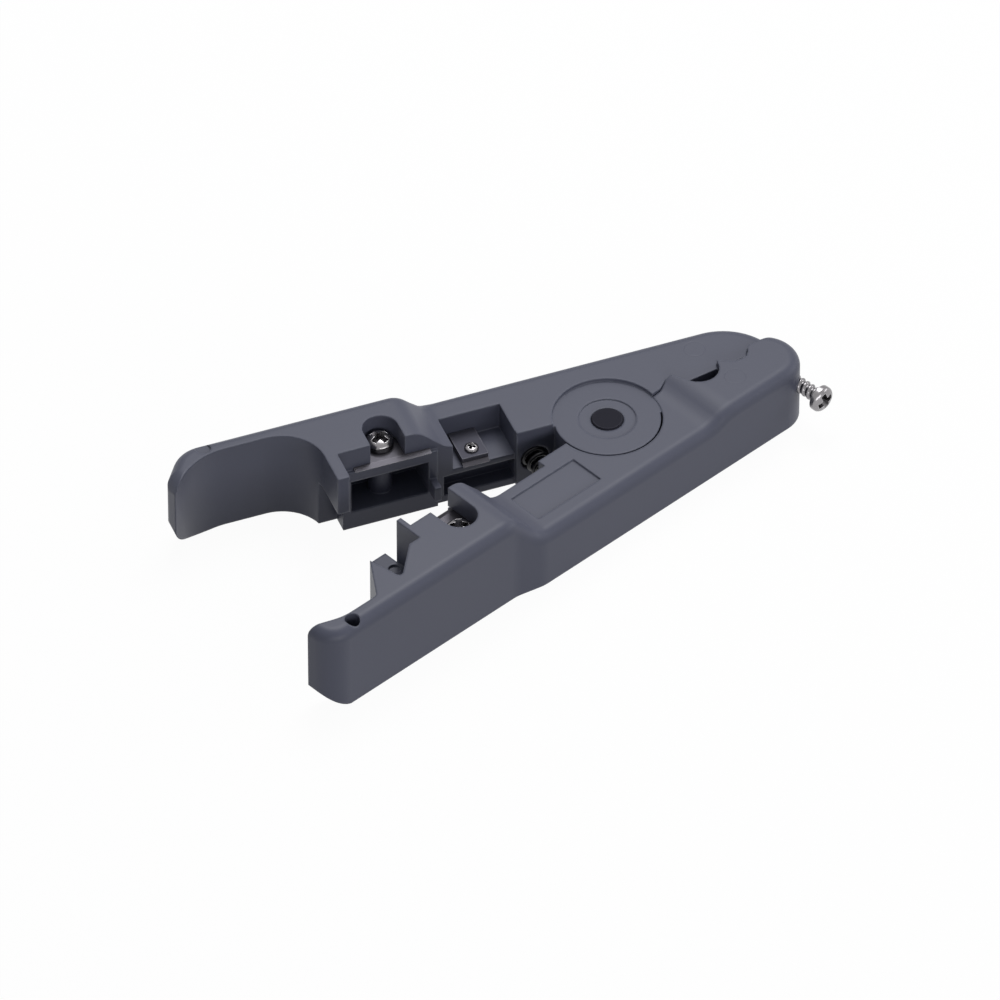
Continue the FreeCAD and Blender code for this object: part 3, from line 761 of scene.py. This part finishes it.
def move_points(group, geometry, x, y, z):
    place = group.nodes.new("ShaderNodeCombineXYZ")
    for value, socket in zip((x, y, z), place.inputs):
        group.links.new(value, socket)
    moved = group.nodes.new("GeometryNodeSetPosition")
    group.links.new(geometry, moved.inputs["Geometry"])
    group.links.new(place.outputs[0], moved.inputs["Position"])
    return moved.outputs[0]


def finish_group(group, geometry, start, end):
    """Smooth faces in the chosen material, as real mesh."""
    smooth = group.nodes.new("GeometryNodeSetShadeSmooth")
    paint = group.nodes.new("GeometryNodeSetMaterial")
    real = group.nodes.new("GeometryNodeRealizeInstances")
    group.links.new(geometry, smooth.inputs["Geometry"])
    group.links.new(smooth.outputs[0], paint.inputs["Geometry"])
    group.links.new(start.outputs["Material"], paint.inputs["Material"])
    group.links.new(paint.outputs[0], real.inputs["Geometry"])
    group.links.new(real.outputs[0], end.inputs["Geometry"])


def evaluated_mesh(holder):
    """The plain mesh that an object's modifiers give."""
    bpy.context.view_layer.update()
    graph = bpy.context.evaluated_depsgraph_get()
    return bpy.data.meshes.new_from_object(holder.evaluated_get(graph))


def grown_mesh(name, group, **values):
    """The mesh that a Geometry Nodes group makes from these inputs."""
    holder = bpy.data.objects.new(name, bpy.data.meshes.new(name + "_seed"))
    scene.collection.objects.link(holder)
    modifier = holder.modifiers.new("grow", "NODES")
    modifier.node_group = group
    for item in group.interface.items_tree:
        if item.item_type == "SOCKET" and item.in_out == "INPUT":
            key = item.name.replace(" ", "_").lower()
            if key in values:
                modifier[item.identifier] = values[key]
    mesh = evaluated_mesh(holder)
    mesh.name = name
    bpy.data.objects.remove(holder)
    return mesh


print("geometry helpers:", [helper.__name__ for helper in (geometry_group, grown_mesh)])

# %% [markdown]
# Screw threads are rolled between dies, which press a soft wave into the wire. A
# thread could be a swept profile, but its turns would have to be joined to the
# core. Here it is one closed cylinder whose radius follows the wave wound round
# the axis: the height, less the turn round the axis, tells how far a point is
# from the crest. The lowest part narrows towards the point. One group serves
# every screw.

# %% Rolled thread
thread_sides = 40
steps_per_turn = 12.0
tip_share = 0.55
plain_radius = 1.0 * MM


def make_thread_group():
    group, start, end = geometry_group("rolled_thread", [
        ("Core Radius", "NodeSocketFloat", 1.0 * MM),
        ("Crest Height", "NodeSocketFloat", 0.3 * MM),
        ("Pitch", "NodeSocketFloat", 1.0 * MM),
        ("Length", "NodeSocketFloat", 10.0 * MM),
        ("Point Length", "NodeSocketFloat", 1.0 * MM),
        ("Material", "NodeSocketMaterial", None),
    ])
    length = start.outputs["Length"]
    pitch = start.outputs["Pitch"]
    shank = group.nodes.new("GeometryNodeMeshCylinder")
    shank.inputs["Vertices"].default_value = thread_sides
    turns = math_node(group, "DIVIDE", length, pitch)
    steps = math_node(group, "MULTIPLY", turns, steps_per_turn)
    group.links.new(steps, shank.inputs["Side Segments"])
    shank.inputs["Radius"].default_value = plain_radius
    group.links.new(length, shank.inputs["Depth"])
    x, y, z = split_position(group)
    turn = math_node(group, "DIVIDE", math_node(group, "ARCTAN2", y, x), 2 * math.pi)
    wound = math_node(group, "SUBTRACT", math_node(group, "DIVIDE", z, pitch), turn)
    phase = math_node(group, "SUBTRACT", math_node(group, "FRACT", wound), 0.5)
    wave = math_node(group, "COSINE", math_node(group, "MULTIPLY", phase, 2 * math.pi))
    crest = math_node(group, "MULTIPLY", math_node(group, "ADD", wave, 1.0), 0.5)
    rise = math_node(group, "MULTIPLY", crest, start.outputs["Crest Height"])
    radius = math_node(group, "ADD", start.outputs["Core Radius"], rise)
    from_tip = math_node(group, "ADD", z, math_node(group, "DIVIDE", length, 2.0))
    past_point = math_node(group, "DIVIDE", from_tip, start.outputs["Point Length"])
    grown = math_node(group, "MULTIPLY", past_point, 1.0 - tip_share)
    taper = math_node(group, "MINIMUM", math_node(group, "ADD", tip_share, grown), 1.0)
    tapered = math_node(group, "MULTIPLY", radius, taper)
    scale = math_node(group, "DIVIDE", tapered, plain_radius)
    thread_x = math_node(group, "MULTIPLY", x, scale)
    thread_y = math_node(group, "MULTIPLY", y, scale)
    shaped = move_points(group, shank.outputs["Mesh"], thread_x, thread_y, from_tip)
    finish_group(group, shaped, start, end)
    return group


thread_group = make_thread_group()
print("geometry group:", thread_group.name)

# %% [markdown]
# A pan head is turned: a flat seat, a short straight rim and an elliptical
# crown. A turned shape is a row of points, each with a radius and a height,
# carried round the axis. A point on the axis stays one point, so that the solid
# closes there without a seam.

# %% Crown of a pan head
head_sides = 56
crown_steps = 10
rim_share = 0.42
seat_share = 0.96
seat_rise_share = 0.05
on_axis = 1e-7


def mesh_from(name, shape):
    """Turn an edited shape into a mesh with its faces outward."""
    bmesh.ops.recalc_face_normals(shape, faces=shape.faces)
    mesh = bpy.data.meshes.new(name)
    shape.to_mesh(mesh)
    shape.free()
    return mesh


def turned_mesh(name, profile):
    """Closed solid of revolution about Z of (radius, height) pairs."""
    rings = []
    shape = bmesh.new()
    for radius, height in profile:
        if radius < on_axis:
            rings.append([shape.verts.new((0, 0, height))])
            continue
        ring = []
        for i in range(head_sides):
            angle = 2 * math.pi * i / head_sides
            x, y = radius * math.cos(angle), radius * math.sin(angle)
            ring.append(shape.verts.new((x, y, height)))
        rings.append(ring)
    for low, high in zip(rings, rings[1:]):
        for i in range(head_sides):
            j = (i + 1) % head_sides
            low_pair = (low[i % len(low)], low[j % len(low)])
            high_pair = (high[j % len(high)], high[i % len(high)])
            corners = list(dict.fromkeys(low_pair + high_pair))
            if len(corners) > 2:
                shape.faces.new(corners)
    return mesh_from(name, shape)


def crown_profile(radius, height):
    rim = height * rim_share
    seat = [(0, 0), (radius * seat_share, 0), (radius, height * seat_rise_share)]
    profile = seat + [(radius, rim)]
    for i in range(1, crown_steps):
        angle = math.pi / 2 * i / crown_steps
        profile.append((radius * math.cos(angle), rim + (height - rim) * math.sin(angle)))
    profile.append((0, height))
    return profile


print("points of a head's profile:", len(crown_profile(1.0, 1.0)))

# %% [markdown]
# The driver recess is punched into the crown, so here a cross that narrows
# towards its floor is cut from it. An exact boolean is used, because the two
# meshes are small and closed and the cut edges should stay clean.

# %% Driver recess
recess_reach_share = 0.78
recess_width_share = 0.46
recess_depth_share = 0.75
mouth_share = 1.08
mouth_rise = 0.3 * MM
floor_reach_share = 0.45
floor_width_share = 0.8
just_past = 1.01


def cross_mesh(name, reach, width, depth, top):
    """Punch of the recess, from its floor to a little above the head's top."""
    half = width / 2

    def sunk(value):
        far_out = abs(value) > half * just_past
        return value * (floor_reach_share if far_out else floor_width_share)

    outline = []
    for quarter in range(4):
        turn = Matrix.Rotation(quarter * math.pi / 2, 3, "Z")
        for x, y in ((half, half), (reach, half), (reach, -half)):
            outline.append(turn @ Vector((x, y, 0)))
    outline.sort(key=lambda p: math.atan2(p.y, p.x))
    shape = bmesh.new()
    mouth = top + mouth_rise
    high = [shape.verts.new((p.x * mouth_share, p.y * mouth_share, mouth)) for p in outline]
    low = [shape.verts.new((sunk(p.x), sunk(p.y), top - depth)) for p in outline]
    count = len(outline)
    for i in range(count):
        j = (i + 1) % count
        shape.faces.new((low[i], low[j], high[j], high[i]))
    shape.faces.new(high)
    shape.faces.new(list(reversed(low)))
    return mesh_from(name, shape)


def pan_head(name, radius, height):
    head = bpy.data.objects.new(name, turned_mesh(name, crown_profile(radius, height)))
    reach, width = radius * recess_reach_share, radius * recess_width_share
    punch_mesh = cross_mesh(name + "_punch", reach, width, height * recess_depth_share, height)
    punch = bpy.data.objects.new(name + "_punch", punch_mesh)
    for made in (head, punch):
        scene.collection.objects.link(made)
    cut = head.modifiers.new("recess", "BOOLEAN")
    cut.operation = "DIFFERENCE"
    cut.solver = "EXACT"
    cut.object = punch
    mesh = evaluated_mesh(head)
    for used in (head, punch):
        bpy.data.objects.remove(used)
    return mesh


print("recess as shares of the head:", recess_reach_share, recess_width_share)

# %% [markdown]
# A finished piece stands in for its solid: it takes the solid's finish, moves
# with the solid's body and hides the solid. A screw is its shank and its head in
# one mesh. The shank reaches a little into the head, as the real one is one
# piece with it. Round faces shade smoothly, and the sharp edges stay crisp.

# %% Screws
crisp_angle = math.radians(32)
shank_overlap = 0.2 * MM
point_length = 1.2 * MM
blade_screw = dict(head_height=2.3 * MM, core=1.05 * MM, crest=0.38 * MM, pitch=0.9 * MM)
small_screw = dict(head_height=0.8 * MM, core=0.6 * MM, crest=0.2 * MM, pitch=0.5 * MM)
adjusting_screw = dict(head_height=2.1 * MM, core=1.2 * MM, crest=0.35 * MM, pitch=1.3 * MM)


def joined_mesh(name, parts):
    """One mesh from several, each moved by its matrix."""
    shape = bmesh.new()
    for mesh, matrix in parts:
        mesh.transform(matrix)
        shape.from_mesh(mesh)
        bpy.data.meshes.remove(mesh)
    mesh = bpy.data.meshes.new(name)
    shape.to_mesh(mesh)
    shape.free()
    return mesh


def smooth_by_angle(mesh):
    for polygon in mesh.polygons:
        polygon.use_smooth = True
    mesh.set_sharp_from_angle(angle=crisp_angle)


def add_piece(name, mesh, node, bends=None):
    """A finished mesh that stands for one solid; without bends it moves with the solid's body,
    with bends it stays where it is.
    """
    mesh.name = name
    mesh.materials.clear()
    mesh.materials.append(finishes[slot_of[node]])
    for polygon in mesh.polygons:
        polygon.material_index = 0
    piece = bpy.data.objects.new(name, mesh)
    scene.collection.objects.link(piece)
    if bends:
        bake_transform(piece)
    else:
        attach(piece, frame["nodes"][node]["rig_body"])
    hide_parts(node)
    return piece


def make_screw(node, axis, turn, head_height, core, crest, pitch):
    """Thread and head made to the solid's measures; the recess is turned by degrees."""
    low, high, middle = measure_along(node, axis)
    seat = high - low - head_height
    shank = grown_mesh(
        node + "_thread",
        thread_group,
        core_radius=core,
        crest_height=crest,
        pitch=pitch,
        length=seat + shank_overlap,
        point_length=point_length,
        material=finishes[slot_of[node]],
    )
    head = pan_head(node + "_head", widest_from_axis(node, axis, middle), head_height)
    spin = Matrix.Rotation(math.radians(turn), 4, "Z")
    on_seat = Matrix.Translation((0, 0, seat)) @ spin
    screw = joined_mesh(node, [(shank, Matrix.Identity(4)), (head, on_seat)])
    screw.transform(along_axis(axis, middle, low))
    smooth_by_angle(screw)
    return add_piece("finished_" + node, screw, node)


screws = [
    make_screw("slitting_blade_screw", up, turn=20, **blade_screw),
    make_screw("jaw_blade_screw", up, turn=65, **blade_screw),
    make_screw("cutter_screw", up, turn=40, **small_screw),
    make_screw("depth_screw", adjust_axis, turn=15, **adjusting_screw),
]
print("screws:", [screw.name for screw in screws])

# %% [markdown]
# The return spring is drawn as the maker winds it: open coils in the middle and
# one closed turn at each end, where it sits flat in its hole. The wire is swept
# round a spiral that is flat at first. Each point is then lifted by its share of
# the way along: by one wire for each closed turn, and evenly in between.

# %% Coil spring
steps_per_coil = 40
wire_sides = 14
closed_wires = 3.0


def make_spring_group():
    group, start, end = geometry_group("coil_spring", [
        ("Turns", "NodeSocketFloat", 8.0),
        ("Coil Radius", "NodeSocketFloat", 2.0 * MM),
        ("Wire Radius", "NodeSocketFloat", 0.4 * MM),
        ("Length", "NodeSocketFloat", 14.0 * MM),
        ("Material", "NodeSocketMaterial", None),
    ])
    turns = start.outputs["Turns"]
    wire_radius = start.outputs["Wire Radius"]
    spiral = group.nodes.new("GeometryNodeCurveSpiral")
    spiral.inputs["Resolution"].default_value = steps_per_coil
    spiral.inputs["Height"].default_value = 0.0
    group.links.new(turns, spiral.inputs["Rotations"])
    for end_name in ("Start Radius", "End Radius"):
        group.links.new(start.outputs["Coil Radius"], spiral.inputs[end_name])
    wire = math_node(group, "MULTIPLY", wire_radius, 2.0)
    share = math_node(group, "DIVIDE", 1.0, turns)
    factor = group.nodes.new("GeometryNodeSplineParameter").outputs["Factor"]
    first = math_node(group, "MINIMUM", factor, share)
    last_starts = math_node(group, "SUBTRACT", 1.0, share)
    after = math_node(group, "SUBTRACT", factor, last_starts)
    last = math_node(group, "MAXIMUM", after, 0.0)
    closed = math_node(group, "MULTIPLY", math_node(group, "ADD", first, last), turns)
    between = math_node(group, "SUBTRACT", math_node(group, "SUBTRACT", factor, first), last)
    span = math_node(group, "SUBTRACT", 1.0, math_node(group, "MULTIPLY", share, 2.0))
    opened = math_node(group, "DIVIDE", between, span)
    closed_length = math_node(group, "MULTIPLY", wire, closed_wires)
    open_length = math_node(group, "SUBTRACT", start.outputs["Length"], closed_length)
    closed_rise = math_node(group, "MULTIPLY", closed, wire)
    open_rise = math_node(group, "MULTIPLY", opened, open_length)
    rise = math_node(group, "ADD", closed_rise, open_rise)
    height = math_node(group, "ADD", rise, wire_radius)
    x, y, _ = split_position(group)
    shaped = move_points(group, spiral.outputs["Curve"], x, y, height)
    section = group.nodes.new("GeometryNodeCurvePrimitiveCircle")
    section.inputs["Resolution"].default_value = wire_sides
    group.links.new(wire_radius, section.inputs["Radius"])
    sweep = group.nodes.new("GeometryNodeCurveToMesh")
    sweep.inputs["Fill Caps"].default_value = True
    group.links.new(shaped, sweep.inputs["Curve"])
    group.links.new(section.outputs["Curve"], sweep.inputs["Profile Curve"])
    finish_group(group, sweep.outputs[0], start, end)
    return group


spring_group = make_spring_group()
print("geometry group:", spring_group.name)

# %% [markdown]
# The coil takes its place from the spring's own solid, between the two arms.
# It rides on neither arm and stays where it is placed.

# %% Spring between the arms
spring_turns = 8.0
spring_wire_radius = 0.4 * MM
spring_low, spring_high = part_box("return_spring")
spring_middle = (spring_low + spring_high) / 2
back_end = Vector((spring_middle.x, spring_high.y, spring_middle.z))
front_end = Vector((spring_middle.x, spring_low.y, spring_middle.z))
coil = grown_mesh(
    "coil",
    spring_group,
    turns=spring_turns,
    coil_radius=(spring_high.x - spring_low.x) / 2 - spring_wire_radius,
    wire_radius=spring_wire_radius,
    length=spring_high.y - spring_low.y,
    material=finishes["black_spring_wire"],
)
lay_along_y = Matrix.Rotation(math.radians(-90), 4, "X")
coil.transform(Matrix.Translation(front_end) @ lay_along_y)
bends = ("hook_side", "thumb_side", back_end, front_end)
spring = add_piece("finished_return_spring", coil, "return_spring", bends)
print("spring:", spring.name, "coils:", spring_turns)
